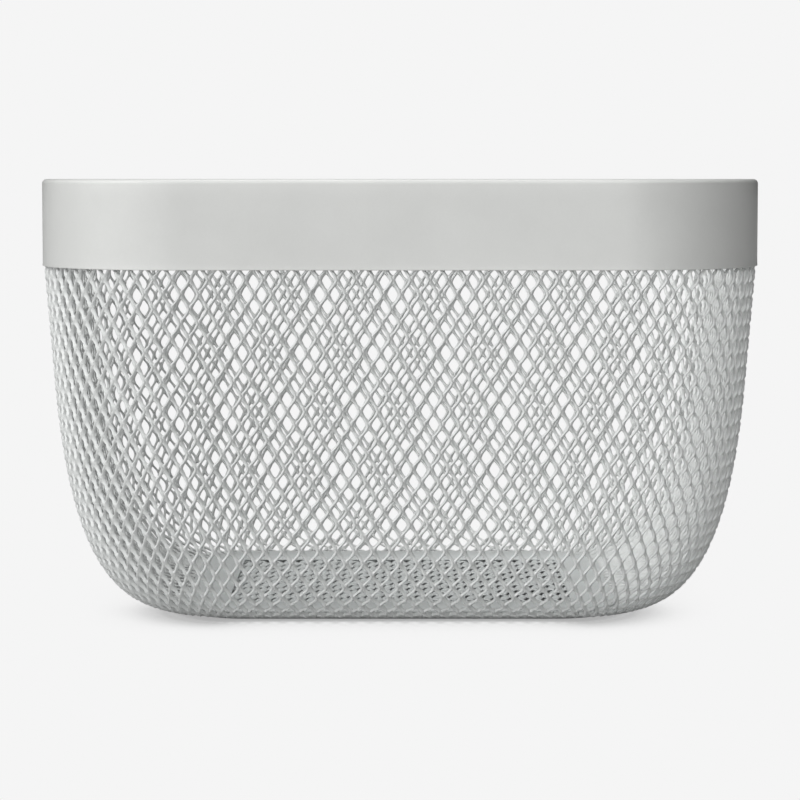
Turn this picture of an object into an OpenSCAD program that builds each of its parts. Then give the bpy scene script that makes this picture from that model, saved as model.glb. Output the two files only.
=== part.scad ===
// Wire locker basket: an expanded metal wall under a folded sheet steel rim
// band, on a base of two sheet frames that clamp the wall and the floor mesh.
// Millimetres, +Z up, +X along the width, origin at the bottom centre.

/* [Rim] */
// Width over the rim band
rim_w = 305; // [240:5:360]
// Depth over the rim band
rim_d = 236; // [190:5:280]
// Height from the surface that the basket stands on to the top of the rim
basket_h = 187; // [150:1:240]
// Plan radius of the rim's corners
rim_corner_r = 63; // [45:1:75]

/* [Rim band] */
// Height of the band's outer leg, over the fold
band_h = 36.6; // [20:0.2:45]
// Height of the band's inner leg, over the fold
inner_leg_h = 34; // [15:0.5:45]
// Thickness of the band's sheet
band_t = 0.8; // [0.6:0.1:1.2]
// Height of the edge that is pressed in against the mesh
curl_h = 3; // [1:0.5:6]

/* [Wall mesh] */
// Thickness over the raised strands
mesh_t = 1.6; // [1.2:0.1:2.4]
// Inward lean of the upper wall, in mm for each mm of height
wall_lean = 0.08; // [0.04:0.01:0.12]
// Height at which the wall starts to curve in
curve_start_z = 100; // [80:1:110]
// How far below that height the upper control point of the curve lies
upper_pull = 74; // [55:1:78]
// How far outside the lip the lower control point of the curve lies
lower_pull = 30; // [15:1:35]
// Width of the flat lip that the two frames clamp
lip_w = 10; // [7:0.5:12]
// Plan radius of the corners at the base, where the wall meets the frames
base_corner_r = 27; // [20:1:35]

/* [Wall openings] */
// Openings round the wall: a coarse mesh of diamonds that stands for the fine one
opening_columns = 24; // [16:4:28]
// Half diamonds from the band down to the base
opening_rows = 6; // [4:1:7]
// Width of a strand of this coarse mesh, as a share of a column
strand_share = 0.2; // [0.16:0.01:0.24]
// Height of a bond between two strands
bond_h = 5; // [3:0.5:8]
// Closed border under the band and over the base
opening_border = 5; // [4:0.5:10]

/* [Base frames] */
// Width of the upper frame
upper_frame_w = 188; // [180:1:196]
// Depth of the upper frame
upper_frame_d = 150; // [144:1:158]
// Width of the window in both frames
window_w = 149; // [130:1:155]
// Depth of the window in both frames
window_d = 106; // [95:1:112]
// Plan radius of the window's corners
window_r = 2; // [1:0.5:8]
// Thickness of the sheet of both frames
frame_t = 0.8; // [0.6:0.1:1.2]
// How far the lower frame stays back from the upper one at the sides
lower_inset_w = 1; // [0.5:0.5:2]
// How far the lower frame stays back from the upper one at front and back
lower_inset_d = 4; // [2:0.5:5]
// Width of the hem that is folded under the lower frame's edge
hem_w = 8; // [5:0.5:12]
// Gap inside the fold of the hem
hem_gap = 0.4; // [0.2:0.1:0.8]

/* [Floor mesh] */
// Short way of a diamond, along the width, between strand centres
cell_w = 7.4; // [7.4:0.1:12]
// Long way of a diamond, along the depth, between strand centres
cell_l = 11.9; // [11.9:0.1:18]
// Width of a strand
strand_w = 1.3; // [0.9:0.1:2]

/* [Hidden] */
$fn = 48;
coat_colour = "#cfd0ce";

// Clearance on each side of the mesh inside the band
slot_gap = 0.3;
// Clearance between the floor mesh and the lip around it
floor_gap = 0.5;
// Steps of each corner's quarter turn, and of the curve from which the wall is drawn
corner_steps = 12;
curve_steps = 40;

// The band: its slot, its fold and the heights of its edges
slot_w = mesh_t + 2 * slot_gap;
band_over_t = slot_w + 2 * band_t;
fold_r = band_over_t / 2;
fold_z = basket_h - fold_r;
band_foot_z = basket_h - band_h;
inner_foot_z = basket_h - inner_leg_h;

// The base, from the ground up: lower frame, mesh layer, upper frame
lower_frame_h = 2 * frame_t + hem_gap;
mesh_layer_z = lower_frame_h;
upper_frame_z = mesh_layer_z + mesh_t;

// The wall's outer face inside the band, and where it meets the upper frame
slot_inset = band_t + slot_gap;
base_inset_w = (rim_w - upper_frame_w) / 2;
base_inset_d = (rim_d - upper_frame_d) / 2;
depth_share = (base_inset_d - slot_inset) / (base_inset_w - slot_inset);
curve_start_inset = slot_inset + wall_lean * (band_foot_z - curve_start_z);
slot_corner_r = rim_corner_r - slot_inset;
corner_share = (slot_corner_r - base_corner_r) / (base_inset_w - slot_inset);

// Plan radius of the wall's outer face where its inset at the sides is e
function wall_r(e) = slot_corner_r - corner_share * (e - slot_inset);
// Inset at front and back where the inset at the sides is e
function inset_d(e) = slot_inset + depth_share * (e - slot_inset);

// A point at share t of a cubic curve through four control points
function cubic(p, t) =
    pow(1 - t, 3) * p[0] + 3 * t * pow(1 - t, 2) * p[1] + 3 * t * t * (1 - t) * p[2] + t * t * t * p[3];

// The wall's outer face in section, from top to lip: inset at the sides, height
curve_points = [
    [curve_start_inset, curve_start_z],
    [curve_start_inset + wall_lean * upper_pull, curve_start_z - upper_pull],
    [base_inset_w - lower_pull, mesh_layer_z],
    [base_inset_w, mesh_layer_z],
];
wall_section = concat(
    [[slot_inset, fold_z - slot_gap], [slot_inset, band_foot_z]],
    [for (i = [0:curve_steps]) cubic(curve_points, i / curve_steps)],
    [[base_inset_w + lip_w, mesh_layer_z]]
);

// Length down the section from its top to point i, and what lies at each length
function section_run(i) = i == 0 ? 0 : section_run(i - 1) + norm(wall_section[i] - wall_section[i - 1]);
section_last = len(wall_section) - 1;
run_insets = [for (i = [0:section_last]) [section_run(i), wall_section[i][0]]];
run_heights = [for (i = [0:section_last]) [section_run(i), wall_section[i][1]]];
lip_run = section_run(section_last - 1);
lip_end_run = section_run(section_last);

// The coarse mesh: where it starts and ends down the section, and its steps
openings_top = section_run(1) + opening_border;
openings_foot = lip_run - opening_border;
row_step = (openings_foot - openings_top) / opening_rows;
half_bond = 0.02;
bend = 0.5 - strand_share - 2 * half_bond;

// Levels of the wall from top to lip: length down, phase of the zigzag, and the
// kind of the row that follows: 0 and 1 for bonds, 2 for open, 3 for closed
wall_levels = concat(
    [[0, 0.5, 3], [section_run(1), 0.5, 3], [openings_top, 0.5, 2]],
    [
        for (row = [0:opening_rows - 1])
            let (
                run = openings_top + (row + 0.5) * row_step,
                phase = row % 2
            )
            each [[run - bond_h / 2, phase, phase], [run + bond_h / 2, phase, 2], [run + row_step / 2, 0.5, 2]]
    ]
);

// One ring of points round a rounded rectangle at height z
function ring(half_w, half_d, r, z) = [
    for (quarter = [0:3], i = [0:corner_steps])
        let (
            a = 90 * (quarter + i / corner_steps),
            side_x = quarter == 0 || quarter == 3 ? 1 : -1,
            side_y = quarter < 2 ? 1 : -1
        )
        [side_x * (half_w - r) + r * cos(a), side_y * (half_d - r) + r * sin(a), z]
];

// Unit direction from the outer face to the inner one at a length down the section
function across(run) =
    let (
        reach = 1,
        step_in = lookup(run + reach, run_insets) - lookup(run - reach, run_insets),
        step_down = lookup(run - reach, run_heights) - lookup(run + reach, run_heights)
    )
    run >= lip_run ? [0, 1] : [step_down, step_in] / norm([step_down, step_in]);

// Point at a share of a quarter ring, from the middle of a side to that of the back
function quarter_point(half_w, half_d, r, share) =
    let (
        side = half_d - r,
        arc = r * PI / 2,
        run = share * (side + arc + half_w - r),
        turn = max(0, min(90, (run - side) / arc * 90)),
        past = max(0, run - side - arc)
    )
    [half_w - r + r * cos(turn) - past, min(run, side) + r * sin(turn)];

// Columns of the points of one ring: each column has two strands and a point in each gap
function ring_columns(phase) = [
    for (column = [0:opening_columns - 1])
        let (
            near = half_bond + bend * phase,
            far = near + strand_share
        )
        each [column - far, column - near, column, column + near, column + far, column + 0.5]
];

// The wall's ring at a length down the section, moved by depth through the mesh
function wall_ring(run, phase, depth) =
    let (
        e = lookup(run, run_insets),
        shift = depth * across(run),
        half_w = rim_w / 2 - e - shift[0],
        half_d = rim_d / 2 - inset_d(e) - shift[0],
        r = wall_r(e) - shift[0]
    )
    [
        for (column = ring_columns(phase))
            let (
                turns = (column + opening_columns) % opening_columns / opening_columns * 4,
                quarter = floor(turns),
                share = turns - quarter,
                p = quarter_point(half_w, half_d, r, quarter % 2 == 0 ? share : 1 - share)
            )
            [quarter == 1 || quarter == 2 ? -p[0] : p[0], quarter > 1 ? -p[1] : p[1],
                lookup(run, run_heights) + shift[1]]
    ];

// Whether the cell after point j of a ring is solid, in a row of the given kind
function solid(kind, j) =
    let (place = j % 6)
    place == 0 || place == 3 || kind == 3 || (kind == 0 && (place == 1 || place == 2))
        || (kind == 1 && place > 3);

// A wall of cells between rings of inner and outer points, closed all round
module lattice(inner, outer, kinds) {
    rows = len(kinds);
    size = len(inner[0]);
    points = concat([for (one = inner) each one], [for (one = outer) each one]);
    behind = len(inner) * size;
    faces = [
        for (i = [0:rows - 1], j = [0:size - 1])
            let (
                k = (j + 1) % size,
                a = i * size + j,
                b = a + size,
                c = i * size + k,
                d = c + size,
                before = (j + size - 1) % size
            )
            if (solid(kinds[i], j))
                each concat(
                    [[a, b, d], [a, d, c], [a + behind, d + behind, b + behind], [a + behind, c + behind, d + behind]],
                    solid(kinds[i], before) ? [] : [[a, a + behind, b + behind], [a, b + behind, b]],
                    solid(kinds[i], k) ? [] : [[c, d, d + behind], [c, d + behind, c + behind]],
                    i > 0 && solid(kinds[i - 1], j) ? [] : [[a, c, c + behind], [a, c + behind, a + behind]],
                    i < rows - 1 && solid(kinds[i + 1], j) ? [] : [[b, d + behind, d], [b, b + behind, d + behind]]
                )
    ];
    polyhedron(points = points, faces = faces);
}

// A rectangle with round corners, centred
module rounded_rect(w, d, r) {
    square([w - 2 * r, d], center = true);
    square([w, d - 2 * r], center = true);
    for (x = [-1, 1], y = [-1, 1]) {
        translate([x * (w / 2 - r), y * (d / 2 - r)])
            circle(r);
    }
}

// A section swept round a rounded rectangle: x = 0 in the section is its edge
module swept_edge(w, d, r) {
    for (i = [0:3]) {
        along_x = i % 2 == 1;
        run = (along_x ? w : d) - 2 * r;
        reach = (along_x ? d : w) / 2;
        side_x = i == 0 || i == 3 ? 1 : -1;
        side_y = i < 2 ? 1 : -1;
        rotate([0, 0, 90 * i])
            translate([reach, run / 2, 0])
                rotate([90, 0, 0])
                    linear_extrude(run)
                        children();
        translate([side_x * (w / 2 - r), side_y * (d / 2 - r), 0])
            rotate([0, 0, 90 * i])
                rotate_extrude(angle = 90)
                    translate([r, 0])
                        children();
    }
}

// A half ring: a sheet folded round, open downwards
module fold(outer_r, sheet_t) {
    difference() {
        circle(outer_r);
        circle(outer_r - sheet_t);
        translate([-2 * outer_r, -2 * outer_r])
            square([4 * outer_r, 2 * outer_r]);
    }
}

// Section of the rim band: outer leg with its curled edge, fold, inner leg
module band_section() {
    curl_top_z = band_foot_z + curl_h;
    translate([-band_t, curl_top_z])
        square([band_t, fold_z - curl_top_z]);
    polygon([
        [0, curl_top_z],
        [-band_t, curl_top_z],
        [-band_t - slot_gap, band_foot_z],
        [-slot_gap, band_foot_z],
    ]);
    translate([-fold_r, fold_z])
        fold(fold_r, band_t);
    translate([-band_over_t, inner_foot_z])
        square([band_t, fold_z - inner_foot_z]);
}

// Section of the hem under the lower frame's edge: fold and lower leg
module hem_section() {
    turn_r = lower_frame_h / 2;
    translate([-turn_r, turn_r])
        rotate(-90)
            fold(turn_r, frame_t);
    translate([-hem_w, 0])
        square([hem_w - turn_r, frame_t]);
}

// Folded sheet band that wraps the top edge of the mesh
module rim_band() {
    color(coat_colour)
        swept_edge(rim_w, rim_d, rim_corner_r)
            band_section();
}

// Wall of expanded metal, as a coarse mesh in the shell that the fine one fills
module wall_mesh() {
    levels = concat(wall_levels, [[lip_run, 0.5, 3], [lip_end_run, 0.5, 3]]);
    closed_below = len(wall_levels) - 1;
    outer = [for (one = levels) wall_ring(one[0], one[1], 0)];
    inner = [for (one = levels) wall_ring(one[0], one[1], mesh_t)];
    kinds = [for (i = [0:len(levels) - 2]) i < closed_below ? levels[i][2] : 3];
    color(coat_colour)
        lattice(inner, outer, kinds);
}

// Flat expanded metal floor, with whole diamonds where the window shows them
module floor_mesh() {
    lip_inset = base_inset_w + lip_w;
    floor_w = rim_w - 2 * (lip_inset + floor_gap);
    floor_d = rim_d - 2 * (inset_d(lip_inset) + floor_gap);
    gap_w = cell_w - strand_w / sin(atan(cell_l / cell_w));
    gap_l = gap_w * cell_l / cell_w;
    columns = floor(window_w / cell_w / 2);
    rows = floor(window_d / cell_l / 2);
    color(coat_colour)
        translate([0, 0, mesh_layer_z])
            linear_extrude(mesh_t)
                difference() {
                    rounded_rect(floor_w, floor_d, wall_r(lip_inset) - floor_gap);
                    for (i = [-2 * columns + 1:2 * columns - 1], j = [-2 * rows + 1:2 * rows - 1]) {
                        if ((i + j) % 2 == 0) {
                            translate([i * cell_w / 2, j * cell_l / 2])
                                polygon([[gap_w / 2, 0], [0, gap_l / 2], [-gap_w / 2, 0], [0, -gap_l / 2]]);
                        }
                    }
                }
}

// Flat sheet frame inside the basket, on top of the lip and the floor mesh
module upper_base_frame() {
    color(coat_colour)
        translate([0, 0, upper_frame_z])
            linear_extrude(frame_t)
                difference() {
                    rounded_rect(upper_frame_w, upper_frame_d, base_corner_r);
                    rounded_rect(window_w, window_d, window_r);
                }
}

// Sheet frame underneath, with a hemmed edge, on which the basket stands
module lower_base_frame() {
    turn_r = lower_frame_h / 2;
    lower_w = upper_frame_w - 2 * lower_inset_w;
    lower_d = upper_frame_d - 2 * lower_inset_d;
    lower_r = base_corner_r - lower_inset_w;
    color(coat_colour) {
        translate([0, 0, lower_frame_h - frame_t])
            linear_extrude(frame_t)
                difference() {
                    rounded_rect(lower_w - 2 * turn_r, lower_d - 2 * turn_r, lower_r - turn_r);
                    rounded_rect(window_w, window_d, window_r);
                }
        swept_edge(lower_w, lower_d, lower_r)
            hem_section();
    }
}

rim_band();
wall_mesh();
floor_mesh();
upper_base_frame();
lower_base_frame();
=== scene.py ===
"""Looks of the wire locker basket: expanded metal, folded rim band, base frames, studio and camera.

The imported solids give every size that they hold. The expanded metal is modelled the way it is made:
one strand is shaped flat, copied along the sheet, and the sheet is then wrapped round the basket.
"""

import logging
import math
from dataclasses import dataclass, field
from enum import Enum
from typing import Callable, Iterable, Optional, Sequence, Union

import bpy
import numpy as np
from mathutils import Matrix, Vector

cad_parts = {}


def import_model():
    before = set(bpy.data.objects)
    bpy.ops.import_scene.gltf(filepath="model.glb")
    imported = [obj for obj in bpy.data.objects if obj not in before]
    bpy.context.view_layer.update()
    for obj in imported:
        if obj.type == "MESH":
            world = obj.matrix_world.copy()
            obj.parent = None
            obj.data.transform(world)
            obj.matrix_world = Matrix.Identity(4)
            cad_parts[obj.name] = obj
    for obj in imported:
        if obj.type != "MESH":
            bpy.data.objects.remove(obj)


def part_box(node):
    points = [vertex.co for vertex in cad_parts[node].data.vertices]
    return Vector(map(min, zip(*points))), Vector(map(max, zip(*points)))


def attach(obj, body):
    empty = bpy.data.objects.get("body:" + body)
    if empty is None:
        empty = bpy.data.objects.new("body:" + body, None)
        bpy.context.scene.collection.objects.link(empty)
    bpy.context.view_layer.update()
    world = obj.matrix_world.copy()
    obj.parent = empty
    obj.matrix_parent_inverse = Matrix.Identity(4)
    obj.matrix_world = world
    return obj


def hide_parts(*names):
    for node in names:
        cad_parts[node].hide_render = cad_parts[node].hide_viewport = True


LOG = logging.getLogger("basket")
MM = 0.001
BODY = "root"

Number = Union[int, float]
Pair = tuple[float, float]


class Bench:
    """Operators on one mesh object at a time, used the way a modeller uses the tools by hand."""

    @staticmethod
    def clear() -> None:
        """Deselects every object."""
        if bpy.context.object is not None and bpy.context.object.mode != "OBJECT":
            bpy.ops.object.mode_set(mode="OBJECT")
        bpy.ops.object.select_all(action="DESELECT")

    @staticmethod
    def pick(piece: bpy.types.Object) -> None:
        """Selects one object alone and makes it active."""
        Bench.clear()
        piece.select_set(True)
        bpy.context.view_layer.objects.active = piece

    @staticmethod
    def bake_place(piece: bpy.types.Object) -> None:
        """Moves an object's place, turn and scale into its mesh."""
        Bench.pick(piece)
        bpy.ops.object.transform_apply(location=True, rotation=True, scale=True)

    @staticmethod
    def panel(name: str, width: float, depth: float, height: float) -> bpy.types.Object:
        """Adds a flat rectangular face.

        Args:
            name: Name of the new object.
            width: Size along X.
            depth: Size along Y.
            height: Its place along Z.

        Returns:
            The new object, its place in its mesh.
        """
        Bench.clear()
        bpy.ops.mesh.primitive_plane_add(size=1, location=(0, 0, height))
        piece = bpy.context.object
        piece.name = name
        piece.data.name = name
        piece.scale = (width, depth, 1)
        Bench.bake_place(piece)
        return piece

    @staticmethod
    def select_faces(piece: bpy.types.Object, wanted: Callable[[bpy.types.MeshPolygon], bool]) -> None:
        """Selects the faces that a test accepts, and leaves the object in edit mode.

        Args:
            piece: The object.
            wanted: Test of one face by its place or normal.
        """
        Bench.pick(piece)
        bpy.ops.object.mode_set(mode="EDIT")
        bpy.ops.mesh.select_mode(type="FACE")
        bpy.ops.mesh.select_all(action="DESELECT")
        bpy.ops.object.mode_set(mode="OBJECT")
        for face in piece.data.polygons:
            face.select = wanted(face)
        bpy.ops.object.mode_set(mode="EDIT")

    @staticmethod
    def select_edges(piece: bpy.types.Object, wanted: Callable[[Vector, Vector], bool]) -> None:
        """Selects the edges that a test accepts, and leaves the object in edit mode.

        Args:
            piece: The object.
            wanted: Test of one edge by its two ends.
        """
        Bench.pick(piece)
        bpy.ops.object.mode_set(mode="EDIT")
        bpy.ops.mesh.select_mode(type="EDGE")
        bpy.ops.mesh.select_all(action="DESELECT")
        bpy.ops.object.mode_set(mode="OBJECT")
        points = piece.data.vertices
        for edge in piece.data.edges:
            edge.select = wanted(points[edge.vertices[0]].co, points[edge.vertices[1]].co)
        bpy.ops.object.mode_set(mode="EDIT")

    @staticmethod
    def round_corners(piece: bpy.types.Object, radius: float, steps: int) -> None:
        """Rounds the four corners of a panel.

        Args:
            piece: A rectangular panel.
            radius: Plan radius of the corners.
            steps: Steps of each quarter turn.
        """
        Bench.select_edges(piece, lambda a, b: True)
        bpy.ops.mesh.bevel(offset=radius, offset_type="OFFSET", segments=steps, profile=0.5, affect="VERTICES")
        bpy.ops.object.mode_set(mode="OBJECT")

    @staticmethod
    def divide_straights(piece: bpy.types.Object, longer_than: float, cuts: int) -> None:
        """Adds points along the straight stretches of a panel's outline.

        Args:
            piece: The panel.
            longer_than: Length from which an edge counts as a straight stretch.
            cuts: New points on each stretch.
        """
        Bench.select_edges(piece, lambda a, b: (a - b).length > longer_than)
        bpy.ops.mesh.subdivide(number_cuts=cuts)
        bpy.ops.object.mode_set(mode="OBJECT")

    @staticmethod
    def rings(piece: bpy.types.Object, profile: Sequence[Pair]) -> None:
        """Grows a skin inward from a panel's outline, ring by ring, and leaves the last face on it.

        Args:
            piece: The panel.
            profile: Inset and height of each ring after the outline, as places and not as steps.
        """
        Bench.select_faces(piece, lambda face: True)
        at_inset, at_height = 0.0, piece.data.vertices[0].co.z
        for inset, height in profile:
            bpy.ops.mesh.inset(
                thickness=inset - at_inset, depth=height - at_height, use_boundary=True, use_even_offset=True
            )
            at_inset, at_height = inset, height
        bpy.ops.object.mode_set(mode="OBJECT")

    @staticmethod
    def open_middle(piece: bpy.types.Object) -> None:
        """Deletes the large face that the rings leave in the middle."""
        largest = max(face.area for face in piece.data.polygons if len(face.vertices) > 4)
        Bench.select_faces(piece, lambda face: len(face.vertices) > 4 and face.area >= largest * 0.999)
        bpy.ops.mesh.delete(type="ONLY_FACE")
        bpy.ops.object.mode_set(mode="OBJECT")

    @staticmethod
    def weld(piece: bpy.types.Object, distance: float = 0.00001) -> None:
        """Merges points that coincide and turns every face outward."""
        Bench.pick(piece)
        bpy.ops.object.mode_set(mode="EDIT")
        bpy.ops.mesh.select_all(action="SELECT")
        bpy.ops.mesh.remove_doubles(threshold=distance)
        bpy.ops.mesh.normals_make_consistent(inside=False)
        bpy.ops.object.mode_set(mode="OBJECT")

    @staticmethod
    def modifier(piece: bpy.types.Object, kind: str, **settings: object) -> None:
        """Adds one modifier, sets it and applies it.

        Args:
            piece: The object.
            kind: The modifier's type.
            **settings: Its settings by name.
        """
        Bench.pick(piece)
        bpy.ops.object.modifier_add(type=kind)
        made = piece.modifiers[-1]
        for name, value in settings.items():
            setattr(made, name, value)
        bpy.ops.object.modifier_apply(modifier=made.name)

    @staticmethod
    def join(pieces: Sequence[bpy.types.Object], name: str) -> bpy.types.Object:
        """Joins objects into one.

        Args:
            pieces: The objects, of which the first one stays.
            name: Name of the joined object.

        Returns:
            The joined object.
        """
        Bench.clear()
        for piece in pieces:
            piece.select_set(True)
        bpy.context.view_layer.objects.active = pieces[0]
        bpy.ops.object.join()
        joined = bpy.context.object
        joined.name = name
        joined.data.name = name
        return joined

    @staticmethod
    def smooth(piece: bpy.types.Object, angle: float) -> None:
        """Shades smooth over edges that bend less than an angle in degrees."""
        Bench.pick(piece)
        bpy.ops.object.shade_smooth_by_angle(angle=math.radians(angle))


class Socket:
    """A value in a shader: arithmetic on it adds Math nodes."""

    def __init__(self, graph: "Graph", link: bpy.types.NodeSocket) -> None:
        """Wraps an output socket of a graph."""
        self.graph = graph
        self.link = link

    def _math(self, operation: str, *others: Union["Socket", Number]) -> "Socket":
        """Adds one Math node that has these inputs."""
        inputs = {place: value for place, value in enumerate(others)}
        return self.graph.node("ShaderNodeMath", {"operation": operation}, inputs)

    def __add__(self, other: Union["Socket", Number]) -> "Socket":
        """Sum."""
        return self._math("ADD", self, other)

    __radd__ = __add__

    def __mul__(self, other: Union["Socket", Number]) -> "Socket":
        """Product."""
        return self._math("MULTIPLY", self, other)

    __rmul__ = __mul__

    def __sub__(self, other: Union["Socket", Number]) -> "Socket":
        """Difference."""
        return self._math("SUBTRACT", self, other)

    def __rsub__(self, other: Number) -> "Socket":
        """Difference from a number."""
        return self._math("SUBTRACT", other, self)

    def __pow__(self, other: Union["Socket", Number]) -> "Socket":
        """Power."""
        return self._math("POWER", self, other)


class Graph:
    """The nodes of one material or world."""

    def __init__(self, tree: bpy.types.NodeTree) -> None:
        """Starts on an empty tree."""
        self.tree = tree
        tree.nodes.clear()

    def node(
        self,
        kind: str,
        settings: Optional[dict[str, object]] = None,
        inputs: Optional[dict[Union[int, str], object]] = None,
        output: Union[int, str] = 0,
    ) -> Socket:
        """Adds one node.

        Args:
            kind: The node's type.
            settings: Attributes that are set before its inputs.
            inputs: Values or sockets by name or place.
            output: Name or place of the output that is wanted.

        Returns:
            That output, wrapped.
        """
        made = self.tree.nodes.new(kind)
        for name, value in (settings or {}).items():
            setattr(made, name, value)
        for place, value in (inputs or {}).items():
            if isinstance(value, Socket):
                self.tree.links.new(value.link, made.inputs[place])
            else:
                made.inputs[place].default_value = value
        return Socket(self, made.outputs[output]) if len(made.outputs) else None


@dataclass(frozen=True)
class Coat:
    """A powder coat: colour, gloss and the soft unevenness of its skin."""

    name: str
    colour: tuple[float, float, float]
    roughness: float
    peel_size: float
    peel_height: float
    cloud: float = 0.03
    gloss_spread: float = 0.06

    def material(self) -> bpy.types.Material:
        """Makes the material.

        Returns:
            A node material that reads object coordinates.
        """
        made = bpy.data.materials.new(self.name)
        made.use_nodes = True
        graph = Graph(made.node_tree)
        place = graph.node("ShaderNodeTexCoord", output="Object")
        clouds = graph.node(
            "ShaderNodeTexNoise", None, {"Vector": place, "Scale": 38.0, "Detail": 3.0, "Roughness": 0.55}
        )
        specks = graph.node(
            "ShaderNodeTexNoise", None, {"Vector": place, "Scale": 900.0, "Detail": 2.0, "Roughness": 0.6}
        )
        peel = graph.node(
            "ShaderNodeTexNoise", None,
            {"Vector": place, "Scale": 1 / self.peel_size, "Detail": 1.5, "Roughness": 0.45},
        )
        tint = (clouds - 0.5) * 2.0 + (specks - 0.5) * 0.6 + 0.5
        light = tuple(min(1.0, part * (1 + self.cloud)) for part in self.colour) + (1.0,)
        dark = tuple(part * (1 - self.cloud) for part in self.colour) + (1.0,)
        colour = graph.node(
            "ShaderNodeMix", {"data_type": "RGBA", "clamp_factor": True}, {0: tint, 6: dark, 7: light}, output=2
        )
        gloss = (clouds - 0.5) * self.gloss_spread + (specks - 0.5) * (self.gloss_spread * 0.6) + self.roughness
        relief = graph.node(
            "ShaderNodeBump", None, {"Strength": 1.0, "Distance": self.peel_height, "Height": peel}
        )
        shader = graph.node(
            "ShaderNodeBsdfPrincipled", None,
            {"Base Color": colour, "Roughness": gloss, "Normal": relief, "Metallic": 0.0,
             "Coat Weight": 0.15, "Coat Roughness": 0.2},
        )
        graph.node("ShaderNodeOutputMaterial", None, {"Surface": shader})
        return made


class Finish(Enum):
    """The finishes on the basket, by the record's material slot. They are one paint, and the differences between
    their colours are painted light.
    """

    BAND = Coat("band_coat", (0.630, 0.637, 0.622), 0.34, 0.0026, 0.00002)
    # painted light: the meshes and frames are painted lighter than the band to stand in for light that reaches
    # them too little
    WALL = Coat("wall_mesh_coat", (0.668, 0.682, 0.674), 0.36, 0.0016, 0.00003)
    FLOOR = Coat("floor_mesh_coat", (0.66, 0.68, 0.675), 0.38, 0.0016, 0.00003)
    FRAME = Coat("frame_coat", (0.66, 0.68, 0.675), 0.42, 0.0022, 0.00002)


class Dresser:
    """Gives pieces their material and their body, and hides the solids that they stand for."""

    def __init__(self) -> None:
        """Makes each finish's material once."""
        self.materials = {finish: finish.value.material() for finish in Finish}

    def dress(self, piece: bpy.types.Object, finish: Finish, *nodes: str) -> None:
        """Finishes one piece.

        Args:
            piece: The piece, in place.
            finish: Its finish.
            *nodes: The solids that it stands for.
        """
        piece.data.materials.clear()
        piece.data.materials.append(self.materials[finish])
        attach(piece, BODY)
        if nodes:
            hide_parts(*nodes)
        LOG.info("%s: %d faces", piece.name, len(piece.data.polygons))


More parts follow.
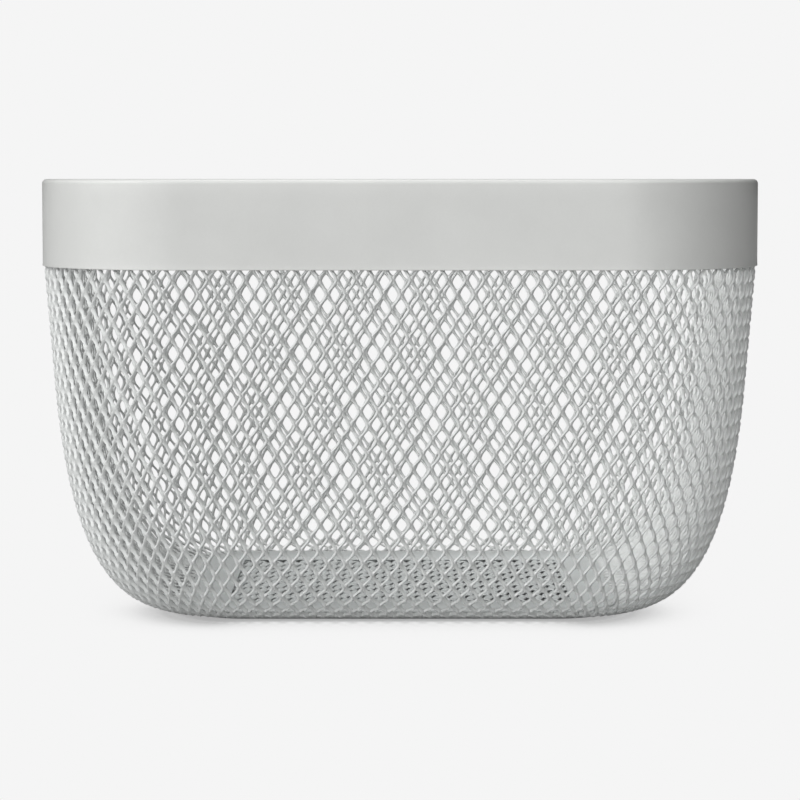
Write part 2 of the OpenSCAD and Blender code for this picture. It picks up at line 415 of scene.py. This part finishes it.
@dataclass(frozen=True)
class Strand:
    """One strand of expanded metal, which zigzags from bond to bond down the sheet.

    Its edges follow the openings on both sides, which the coat has rounded to super-ellipses.
    """

    short_way: float = 7.4 * MM
    long_way: float = 11.9 * MM
    thickness: float = 1.2 * MM
    tilt: float = -50.0
    edge_round: float = 0.2 * MM
    open_w: float = 5.05 * MM
    open_l: float = 8.65 * MM
    squareness: float = 1.13
    stations: tuple[float, ...] = (0.22, 0.3, 0.5, 0.7, 0.78, 1.0)

    def _opening(self, away: float) -> float:
        """Half the width of an opening at a height above or below its middle."""
        share = min(1.0, away / (self.open_l / 2))
        return self.open_w / 2 * (1 - share ** self.squareness) ** (1 / self.squareness)

    def _edges(self, down: float) -> Pair:
        """Left and right edge, seen square on, between the line of one bond and that of the next."""
        half = self.long_way / 2
        return self._opening(half - down), self.short_way / 2 - self._opening(down)

    def path(self, side: int) -> list[tuple[float, float, float, float]]:
        """Stations along one cell of the strand.

        Args:
            side: 1 for a strand whose first stretch goes to the right, -1 to the left.

        Returns:
            For each station its distance down the sheet, the way across between the bonds' lines, and
            the place and the width of the strand's section on the flat sheet.
        """
        half = self.long_way / 2
        side_way = self.short_way / 2
        lean = math.radians(abs(self.tilt))
        rise = self.thickness / 2 * math.sin(lean)
        first = sum(self._edges(0.0)) / 2
        travel = sum(self._edges(half)) / 2 - first
        stations = []
        for step, share in [(0, 0.0)] + [(step, share) for step in (0, 1) for share in self.stations]:
            run = share if step == 0 else 1 - share
            left, right = self._edges(run * half)
            across = ((left + right) / 2 - first) / travel * side_way
            start = (left + min(left, rise) - across) / math.cos(lean)
            end = (right - min(side_way - right, rise) - across) / math.cos(lean)
            start -= self.edge_round if left <= 0 else 0
            end += self.edge_round if right >= side_way else 0
            place = side * (across + (start + end) / 2)
            stations.append(((step + share) * half, side * across, place, end - start))
        return stations

    def turned(self, points: np.ndarray, side: int) -> tuple[np.ndarray, np.ndarray, np.ndarray]:
        """Turns each part of a flat strand by the tilt about the line between its bonds.

        Args:
            points: Points of the flat strand.
            side: The side that its first stretch goes to.

        Returns:
            For each point the way across of that line, and the offsets along and out of the sheet.
        """
        path = np.array(self.path(side))
        across = np.interp(np.mod(points[:, 1], self.long_way), path[:, 0], path[:, 1])
        lean = math.radians(self.tilt)
        local = points[:, 0] - across
        along = local * math.cos(lean) - points[:, 2] * math.sin(lean)
        outward = local * math.sin(lean) + points[:, 2] * math.cos(lean)
        return across, along, outward

    def build(self, name: str, side: int, cells: int) -> bpy.types.Object:
        """Models one strand flat, by drawing its section along one cell and repeating that cell.

        Args:
            name: Name of the new object.
            side: 1 for a strand whose first stretch goes to the right, -1 to the left.
            cells: Number of cells.

        Returns:
            The closed strand, which starts at Y = 0.
        """
        path = self.path(side)
        piece = Bench.panel(name, path[0][3], self.thickness, 0)
        Bench.round_corners(piece, self.edge_round, 1)
        piece.rotation_euler = (math.radians(90), 0, 0)
        piece.location = (path[0][2], 0, 0)
        Bench.bake_place(piece)
        Bench.select_faces(piece, lambda face: True)
        for (down, _, place, width), (next_down, _, next_place, next_width) in zip(path, path[1:]):
            move = (next_place - place, next_down - down, 0)
            bpy.ops.mesh.extrude_region_move(TRANSFORM_OT_translate={"value": move})
            bpy.ops.transform.resize(value=(next_width / width, 1, 1))
        bpy.ops.object.mode_set(mode="OBJECT")
        close = self.long_way * 0.001
        Bench.select_faces(
            piece, lambda face: min(abs(face.center.y - end) for end in (0.0, self.long_way)) < close
        )
        bpy.ops.mesh.delete(type="ONLY_FACE")
        bpy.ops.object.mode_set(mode="OBJECT")
        Bench.modifier(
            piece, "ARRAY", count=cells, use_relative_offset=False, use_constant_offset=True,
            constant_offset_displace=(0, self.long_way, 0), use_merge_vertices=True, merge_threshold=0.01 * MM,
        )
        Bench.pick(piece)
        bpy.ops.object.mode_set(mode="EDIT")
        bpy.ops.mesh.select_all(action="SELECT")
        bpy.ops.mesh.fill_holes(sides=0)
        bpy.ops.mesh.select_all(action="SELECT")
        bpy.ops.mesh.normals_make_consistent(inside=False)
        bpy.ops.object.mode_set(mode="OBJECT")
        return piece


@dataclass
class Sheet:
    """The wall's middle surface: where a place on the flat strip of mesh lies once it is wrapped."""

    rim_w: float
    rim_d: float
    foot: float
    top: float
    base_w: float
    base_d: float
    base_z: float
    thickness: float
    slot: float = 1.1 * MM
    rim_r: float = 63 * MM
    base_r: float = 27 * MM
    lean: float = 0.08
    bend_z: float = 100 * MM
    upper_pull: float = 74 * MM
    lower_pull: float = 30 * MM
    lip: float = 10 * MM
    columns: int = 130
    slant: float = 0.038
    plateau: float = 45 * MM
    fade: float = 45 * MM
    samples: int = 240

    def __post_init__(self) -> None:
        """Works out the section and how the columns close up round the corners."""
        inset_w = (self.rim_w - self.base_w) / 2
        inset_d = (self.rim_d - self.base_d) / 2
        share = (inset_d - self.slot) / (inset_w - self.slot)
        corner = (self.rim_r - self.slot - self.base_r) / (inset_w - self.slot)
        section = self._section(inset_w)
        along = np.gradient(section, axis=0)
        along /= np.linalg.norm(along, axis=1)[:, None]
        inward = np.stack([-along[:, 1], along[:, 0]], axis=1) * self.thickness / 2
        inset = section[:, 0]
        self.half_w = self.rim_w / 2 - inset - inward[:, 0]
        self.half_d = self.rim_d / 2 - self.slot - share * (inset - self.slot) - inward[:, 0]
        self.radius = self.rim_r - self.slot - corner * (inset - self.slot) - inward[:, 0]
        self.height = section[:, 1] + inward[:, 1]
        step_in = np.diff(inset) * (1 + share) / 2
        self.drop = np.concatenate([[0], np.cumsum(np.hypot(step_in, np.diff(section[:, 1])))])
        self.quarter = self.half_w + self.half_d + (math.pi / 2 - 2) * self.radius
        self._close_up()

    def _section(self, inset_w: float) -> np.ndarray:
        """Outer face of the wall in section: inset at the sides and height, from the top to the lip."""
        start = self.slot + self.lean * (self.foot - self.bend_z)
        control = np.array([
            [start, self.bend_z], [start + self.lean * self.upper_pull, self.bend_z - self.upper_pull],
            [inset_w - self.lower_pull, self.base_z], [inset_w, self.base_z],
        ])
        t = np.linspace(0, 1, self.samples)[:, None]
        weights = ((1 - t) ** 3, 3 * t * (1 - t) ** 2, 3 * t * t * (1 - t), t ** 3)
        curve = sum(weight * point for weight, point in zip(weights, control))
        upper = self._line((self.slot, self.top), (self.slot, self.foot), 12)
        middle = self._line((self.slot, self.foot), (start, self.bend_z), 12)
        lip = self._line((inset_w, self.base_z), (inset_w + self.lip, self.base_z), 6)
        return np.concatenate([upper[:-1], middle[:-1], curve, lip[1:]])

    @staticmethod
    def _line(start: Pair, end: Pair, steps: int) -> np.ndarray:
        """Points on a straight line, both ends among them."""
        return np.linspace(start, end, steps + 1)

    def _close_up(self) -> None:
        """Shares of a quarter's shortfall that are used up by each place along the flat strip."""
        self.full = self.quarter[0]
        middle = self.half_w[0] - self.radius[0] + math.pi / 4 * self.radius[0]
        self.places = np.linspace(0, self.full, 600)
        away = np.abs(self.places - middle) - self.plateau
        weight = 0.5 + 0.5 * np.cos(np.pi * np.clip(away / self.fade, 0, 1))
        used = np.concatenate([[0], np.cumsum((weight[1:] + weight[:-1]) / 2)])
        self.used = used / used[-1]

    @property
    def pitch(self) -> float:
        """Width of one column on the flat strip."""
        return 4 * self.full / self.columns

    def point(self, column: np.ndarray, drop: np.ndarray) -> np.ndarray:
        """Where places on the flat strip lie.

        Args:
            column: Columns counted from the middle of the front towards +X.
            drop: Distances down the strip from its top edge.

        Returns:
            One point per place.
        """
        levels = (self.half_w, self.half_d, self.radius, self.height, self.quarter)
        half_w, half_d, radius, height, quarter = (np.interp(drop, self.drop, level) for level in levels)
        turn = np.mod(column - self.slant * drop / self.pitch, self.columns)
        fourth = self.columns / 4
        sector = np.floor(turn / fourth).astype(int) % 4
        rest = turn - sector * fourth
        odd = sector % 2 == 1
        place = np.where(odd, fourth - rest, rest) * self.pitch
        side_x = np.where(sector < 2, 1.0, -1.0)
        side_y = np.where((sector == 0) | (sector == 3), -1.0, 1.0)
        run = place - (self.full - quarter) * np.interp(place, self.places, self.used)
        straight = half_w - radius
        angle = np.clip((run - straight) / radius, 0, math.pi / 2)
        past = np.maximum(run - straight - math.pi / 2 * radius, 0)
        x = np.minimum(run, straight) + radius * np.sin(angle)
        y = half_d - radius + radius * np.cos(angle) - past
        return np.stack([side_x * x, side_y * y, height], axis=-1)

    def axes(self, column: np.ndarray, drop: np.ndarray) -> tuple[np.ndarray, np.ndarray]:
        """Directions at places on the strip.

        Args:
            column: Columns counted from the middle of the front.
            drop: Distances down the strip.

        Returns:
            The direction along the columns' count, and the outward one.
        """
        step = 0.04
        along = self.point(column + step, drop) - self.point(column - step, drop)
        slope = step * self.slant * 10 / self.pitch
        fall = self.point(column + slope * 0, drop + 0.3 * MM) - self.point(column, drop - 0.3 * MM)
        along /= np.linalg.norm(along, axis=-1)[:, None]
        outward = np.cross(fall, along)
        outward /= np.linalg.norm(outward, axis=-1)[:, None]
        return along, outward


@dataclass
class WallMesh:
    """The wall: every strand of the strip, wrapped round the basket, in eight pieces."""

    sheet: Sheet
    strand: Strand = field(default_factory=Strand)
    first_bond: float = 2.65 * MM
    shift: float = 0.8
    flatten: float = 0.7
    names: tuple[str, ...] = ("front_right", "right_front", "right_back", "back_right",
                              "back_left", "left_back", "left_front", "front_left")

    def _lay(self, flat: bpy.types.Object, side: int, column: float) -> bpy.types.Object:
        """Copies a flat strand and wraps the copy round the basket.

        Args:
            flat: The strand as modelled.
            side: The side that its first stretch goes to.
            column: Column of its first bond.

        Returns:
            The wrapped copy.
        """
        copy = flat.copy()
        copy.data = flat.data.copy()
        bpy.context.scene.collection.objects.link(copy)
        count = len(copy.data.vertices)
        points = np.empty(count * 3)
        copy.data.vertices.foreach_get("co", points)
        points = points.reshape(count, 3)
        across, beside, out = self.strand.turned(points, side)
        drop = points[:, 1] + self.first_bond
        columns = column + across / self.strand.short_way
        along, outward = self.sheet.axes(columns, drop)
        near_base = np.clip((drop - (self.sheet.drop[-1] - 3 * self.sheet.lip)) / (2 * self.sheet.lip), 0, 1)
        out *= 1 - (1 - self.flatten) * near_base
        laid = self.sheet.point(columns, drop)
        laid += beside[:, None] * along + out[:, None] * outward
        copy.data.vertices.foreach_set("co", laid.ravel())
        copy.data.update()
        return copy

    def build(self) -> list[bpy.types.Object]:
        """Makes the pieces.

        Returns:
            One piece for each eighth of the strip, from the middle of the front round to the right.
        """
        room = self.sheet.drop[-1] - self.first_bond
        cells = int(room / self.strand.long_way)
        flats = {side: self.strand.build("strand", side, cells) for side in (1, -1)}
        pieces = []
        share = self.sheet.columns / len(self.names)
        for number, name in enumerate(self.names):
            first, last = math.ceil(number * share), math.ceil((number + 1) * share)
            laid = [
                self._lay(flat, side, column + self.shift)
                for column in range(first, last) for side, flat in flats.items()
            ]
            pieces.append(Bench.join(laid, "wall_strands_" + name))
        for flat in flats.values():
            bpy.data.objects.remove(flat)
        for piece in pieces:
            Bench.smooth(piece, 60)
        return pieces


@dataclass
class FloorMesh:
    """The floor: a flat piece of the same mesh between the two frames."""

    width: float
    depth: float
    height: float
    corner_r: float = 20 * MM
    strand: Strand = field(default_factory=lambda: Strand(tilt=-22.0, thickness=0.9 * MM, open_w=3.5 * MM, open_l=6.8 * MM))

    def _reach(self, x: float) -> float:
        """Half the depth of the floor's outline at a place along X."""
        over = abs(x) - (self.width / 2 - self.corner_r)
        if over <= 0:
            return self.depth / 2
        return self.depth / 2 - self.corner_r + math.sqrt(max(self.corner_r ** 2 - over ** 2, 0))

    def _trim(self, piece: bpy.types.Object, reach: float) -> None:
        """Cuts a strand off at the outline, at the front and at the back.

        Args:
            piece: The strand, in place.
            reach: Half the depth that stays.
        """
        for side in (1, -1):
            Bench.select_faces(piece, lambda face: True)
            bpy.ops.mesh.bisect(
                plane_co=(0, side * reach, 0), plane_no=(0, side, 0), use_fill=True, clear_outer=True
            )
            bpy.ops.object.mode_set(mode="OBJECT")

    def build(self) -> bpy.types.Object:
        """Makes the floor.

        Returns:
            One piece that holds every strand.
        """
        cells = math.ceil(self.depth / self.strand.long_way) + 1
        start = -cells * self.strand.long_way / 2
        flats = {side: self.strand.build("floor_strand", side, cells) for side in (1, -1)}
        for side, flat in flats.items():
            points = np.array([point.co for point in flat.data.vertices])
            across, beside, out = self.strand.turned(points, side)
            points[:, 0] = across + beside
            points[:, 2] = out
            flat.data.vertices.foreach_set("co", points.ravel())
        most = int((self.width / 2 - 2 * MM) / self.strand.short_way)
        copies = []
        for column in range(-most, most + 1):
            for side, flat in flats.items():
                copy = flat.copy()
                copy.data = flat.data.copy()
                bpy.context.scene.collection.objects.link(copy)
                copy.location = (column * self.strand.short_way, start, self.height)
                Bench.bake_place(copy)
                self._trim(copy, self._reach((column + side * 0.25) * self.strand.short_way))
                copies.append(copy)
        for flat in flats.values():
            bpy.data.objects.remove(flat)
        piece = Bench.join(copies, "floor_strands")
        Bench.smooth(piece, 60)
        return piece


@dataclass
class RimBand:
    """The folded sheet band: outer leg, fold and inner leg, drawn as one skin and then thickened."""

    width: float
    depth: float
    foot: float
    top: float
    inner_foot: float
    corner_r: float = 63 * MM
    over_t: float = 3.8 * MM
    sheet_t: float = 0.8 * MM
    curl: float = 3.2 * MM
    curl_in: float = 0.15 * MM
    corner_steps: int = 40
    fold_steps: int = 12

    def _profile(self) -> list[Pair]:
        """Inset and height of each ring after the foot's outline."""
        radius = self.over_t / 2
        centre = self.top - radius
        shares = (0.12, 0.3, 0.6, 1.0)
        profile = [(self.curl_in * (1 - (1 - share) ** 2) - self.curl_in, self.foot + share * self.curl)
                   for share in shares]
        levels = np.linspace(self.foot + self.curl, centre, 7)[1:]
        profile += [(0.0, float(level)) for level in levels]
        for step in range(1, self.fold_steps + 1):
            angle = math.pi * step / self.fold_steps
            profile.append((radius * (1 - math.cos(angle)), centre + radius * math.sin(angle)))
        levels = np.linspace(centre, self.inner_foot, 6)[1:]
        profile += [(self.over_t, float(level)) for level in levels]
        return profile

    def build(self) -> bpy.types.Object:
        """Makes the band.

        Returns:
            The closed band.
        """
        piece = Bench.panel("rim_band_sheet", self.width, self.depth, self.foot)
        Bench.round_corners(piece, self.corner_r, self.corner_steps)
        Bench.divide_straights(piece, 50 * MM, 15)
        Bench.rings(piece, self._profile())
        Bench.open_middle(piece)
        Bench.modifier(piece, "SOLIDIFY", thickness=self.sheet_t, offset=-1.0, use_even_offset=True)
        Bench.weld(piece)
        Bench.modifier(piece, "BEVEL", width=0.2 * MM, segments=2, limit_method="ANGLE",
                       angle_limit=math.radians(50))
        Bench.smooth(piece, 40)
        return piece


@dataclass
class BaseFrame:
    """A sheet ring with a window; with a hem its edge is folded back under it."""

    name: str
    width: float
    depth: float
    top: float
    corner_r: float
    sheet_t: float = 0.8 * MM
    window_w: float = 149 * MM
    window_d: float = 106 * MM
    window_r: float = 2 * MM
    hem: float = 0.0
    hem_gap: float = 0.4 * MM
    steps: int = 14

    def _window(self, height: float) -> bpy.types.Object:
        """Outline of the window at a height."""
        piece = Bench.panel(self.name + "_window", self.window_w, self.window_d, height)
        Bench.round_corners(piece, self.window_r, self.steps)
        Bench.select_faces(piece, lambda face: True)
        bpy.ops.mesh.delete(type="ONLY_FACE")
        bpy.ops.object.mode_set(mode="OBJECT")
        return piece

    def _outline(self, height: float) -> bpy.types.Object:
        """The frame's outline as one face at a height."""
        piece = Bench.panel(self.name, self.width, self.depth, height)
        Bench.round_corners(piece, self.corner_r, self.steps)
        return piece

    def _turn(self, side: int) -> list[Pair]:
        """Rings of half of the fold: side 1 goes up to the sheet's top, -1 down to the hem's underside."""
        radius = self.sheet_t + self.hem_gap / 2
        centre = self.top - radius
        quarter = 5
        angles = [math.pi / 2 * step / quarter for step in range(1, quarter + 1)]
        return [(radius * (1 - math.cos(a)), centre + side * radius * math.sin(a)) for a in angles]

    def build(self) -> bpy.types.Object:
        """Makes the frame.

        Returns:
            The closed frame.
        """
        if self.hem:
            middle = self.top - self.sheet_t - self.hem_gap / 2
            upper = self._outline(middle)
            Bench.rings(upper, self._turn(1))
            Bench.open_middle(upper)
            lower = self._outline(middle)
            Bench.rings(lower, self._turn(-1) + [(self.hem, 0.0)])
            Bench.open_middle(lower)
            skins = [upper, lower]
        else:
            outline = self._outline(self.top)
            Bench.select_faces(outline, lambda face: True)
            bpy.ops.mesh.delete(type="ONLY_FACE")
            bpy.ops.object.mode_set(mode="OBJECT")
            skins = [outline]
        piece = Bench.join(skins + [self._window(self.top)], self.name)
        Bench.weld(piece)
        top = self.top
        Bench.select_edges(piece, lambda a, b: min(a.z, b.z) > top - 0.01 * MM)
        bpy.ops.mesh.bridge_edge_loops()
        bpy.ops.object.mode_set(mode="OBJECT")
        Bench.weld(piece)
        Bench.select_faces(piece, lambda face: abs(face.center.z - top) < 0.01 * MM and face.normal.z < 0)
        bpy.ops.mesh.select_all(action="SELECT")
        if any(face.normal.z < 0 for face in piece.data.polygons if abs(face.center.z - top) < 0.01 * MM):
            bpy.ops.mesh.flip_normals()
        bpy.ops.object.mode_set(mode="OBJECT")
        Bench.modifier(piece, "SOLIDIFY", thickness=self.sheet_t, offset=-1.0, use_even_offset=True)
        Bench.weld(piece)
        Bench.modifier(piece, "BEVEL", width=0.15 * MM, segments=2, limit_method="ANGLE",
                       angle_limit=math.radians(50))
        Bench.smooth(piece, 40)
        return piece


@dataclass
class Studio:
    """Camera, floor, backdrop light and lamps."""

    centre_x: float = 0.0
    rim_front: float = -0.118
    distance: float = 0.880
    focal_px: float = 2200.0
    horizon_px: float = 179.0
    image_px: float = 800.0
    camera_z: float = 0.187
    shift: float = 0.12
    sensor: float = 36.0

    def camera(self) -> None:
        """Places the camera level with the rim and turned a little down, as in the photograph."""
        data = bpy.data.cameras.new("camera")
        data.sensor_width = self.sensor
        data.lens = self.focal_px / self.image_px * self.sensor
        data.shift_y = -self.shift
        data.clip_start, data.clip_end = 0.05, 20
        camera = bpy.data.objects.new("camera", data)
        bpy.context.scene.collection.objects.link(camera)
        camera.location = (self.centre_x, self.rim_front - self.distance, self.camera_z)
        drop_px = self.image_px / 2 - self.horizon_px - self.shift * self.image_px
        camera.rotation_euler = (math.pi / 2 - math.atan(drop_px / self.focal_px), 0, 0)
        bpy.context.scene.camera = camera

    def floor(self) -> None:
        """Adds the pale floor, white to the camera except for a painted contact shadow near the basket; other
        rays see plain grey paint.
        """
        Bench.clear()
        bpy.ops.mesh.primitive_plane_add(size=30, location=(0, 0, 0))
        plane = bpy.context.object
        plane.name = "studio_floor"
        made = bpy.data.materials.new("studio_floor")
        made.use_nodes = True
        graph = Graph(made.node_tree)
        seen = graph.node("ShaderNodeLightPath", output="Is Camera Ray")
        paint = graph.node("ShaderNodeBsdfDiffuse", None, {"Color": (0.47, 0.47, 0.47, 1)})
        # painted shadow: ambient occlusion darkens the floor's camera emission near the basket in place of a
        # lamp-cast shadow
        nearness = graph.node("ShaderNodeAmbientOcclusion", {"samples": 16}, {"Distance": 0.07}, output="AO")
        painted_shadow_level = graph.node("ShaderNodeMapRange", {"interpolation_type": "SMOOTHSTEP"},
                           {"Value": nearness, "From Min": 0.0, "From Max": 0.62, "To Min": 0.4, "To Max": 0.913},
                           output="Result")
        painted_shadow_grey = graph.node("ShaderNodeCombineColor", None, {0: painted_shadow_level, 1: painted_shadow_level, 2: painted_shadow_level})
        white = graph.node("ShaderNodeEmission", None, {"Color": painted_shadow_grey, "Strength": 1.0})
        shader = graph.node("ShaderNodeMixShader", None, {0: seen, 1: paint, 2: white})
        graph.node("ShaderNodeOutputMaterial", None, {"Surface": shader})
        plane.data.materials.append(made)

    def world(self) -> None:
        """Lights the room softly, brightest at the front left and above, and shows white to the camera."""
        world = bpy.data.worlds.new("studio")
        bpy.context.scene.world = world
        world.use_nodes = True
        graph = Graph(world.node_tree)
        way = graph.node("ShaderNodeTexCoord", output="Generated")
        towards = Vector((-0.49, -0.70, 0.52)).normalized()
        facing = graph.node("ShaderNodeVectorMath", {"operation": "DOT_PRODUCT"},
                            {0: way, 1: tuple(towards)}, output="Value")
        level = graph.node("ShaderNodeMapRange", {"interpolation_type": "SMOOTHSTEP"},
                           {"Value": facing, "From Min": 0.40, "From Max": 1.0, "To Min": 0.0, "To Max": 2.42},
                           output="Result")
        soft = graph.node("ShaderNodeBackground", None, {"Color": (1, 1, 1, 1), "Strength": level})
        white = graph.node("ShaderNodeBackground", None, {"Color": (0.913, 0.913, 0.913, 1), "Strength": 1.0})
        seen = graph.node("ShaderNodeLightPath", output="Is Camera Ray")
        shader = graph.node("ShaderNodeMixShader", None, {0: seen, 1: soft, 2: white})
        graph.node("ShaderNodeOutputWorld", None, {"Surface": shader})

    def lamp(self, name: str, place: tuple[float, float, float], size: float, power: float) -> None:
        """Adds one square soft lamp that points at the basket.

        Args:
            name: Its name.
            place: Where it hangs.
            size: Length of its side.
            power: Its power in watts.
        """
        data = bpy.data.lights.new(name, "AREA")
        data.size = size
        data.energy = power
        lamp = bpy.data.objects.new(name, data)
        bpy.context.scene.collection.objects.link(lamp)
        lamp.location = place
        aim = Vector((0, 0, 0.08)) - Vector(place)
        lamp.rotation_euler = aim.to_track_quat("-Z", "Y").to_euler()

    def build(self) -> None:
        """Sets up the whole studio."""
        self.camera()
        self.floor()
        self.world()
        self.lamp("key", (-0.9, -0.8, 1.0), 0.3, 1.6)
        self.lamp("top", (-0.05, 0.1, 1.2), 0.5, 3.2)
        settings = bpy.context.scene.view_settings
        settings.view_transform = "Standard"


def main() -> None:
    logging.basicConfig(level=logging.INFO, format="%(name)s: %(message)s")
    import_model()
    Bench.clear()
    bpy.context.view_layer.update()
    rim_low, rim_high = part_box("rim_band")
    wall_low, wall_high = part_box("wall_mesh")
    upper_low, upper_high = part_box("upper_base_frame")
    lower_low, lower_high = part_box("lower_base_frame")
    floor_low, floor_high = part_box("floor_mesh")
    upper_size = upper_high - upper_low
    lower_size = lower_high - lower_low
    floor_size = floor_high - floor_low
    dresser = Dresser()
    sheet = Sheet(
        rim_w=rim_high.x - rim_low.x, rim_d=rim_high.y - rim_low.y, foot=rim_low.z, top=wall_high.z,
        base_w=upper_size.x, base_d=upper_size.y, base_z=lower_high.z, thickness=floor_size.z,
    )
    for piece in WallMesh(sheet).build():
        dresser.dress(piece, Finish.WALL, "wall_mesh")
    floor = FloorMesh(width=floor_size.x, depth=floor_size.y, height=(floor_low.z + floor_high.z) / 2)
    dresser.dress(floor.build(), Finish.FLOOR, "floor_mesh")
    band = RimBand(
        width=sheet.rim_w, depth=sheet.rim_d, foot=rim_low.z, top=rim_high.z, inner_foot=rim_high.z - 34 * MM
    )
    dresser.dress(band.build(), Finish.BAND, "rim_band")
    upper = BaseFrame("upper_frame_sheet", upper_size.x, upper_size.y, upper_high.z, sheet.base_r)
    dresser.dress(upper.build(), Finish.FRAME, "upper_base_frame")
    lower = BaseFrame("lower_frame_sheet", lower_size.x, lower_size.y, lower_high.z, sheet.base_r - 1 * MM,
                      hem=8 * MM)
    dresser.dress(lower.build(), Finish.FRAME, "lower_base_frame")
    Studio(rim_front=rim_low.y).build()


if __name__ == "__main__":
    main()
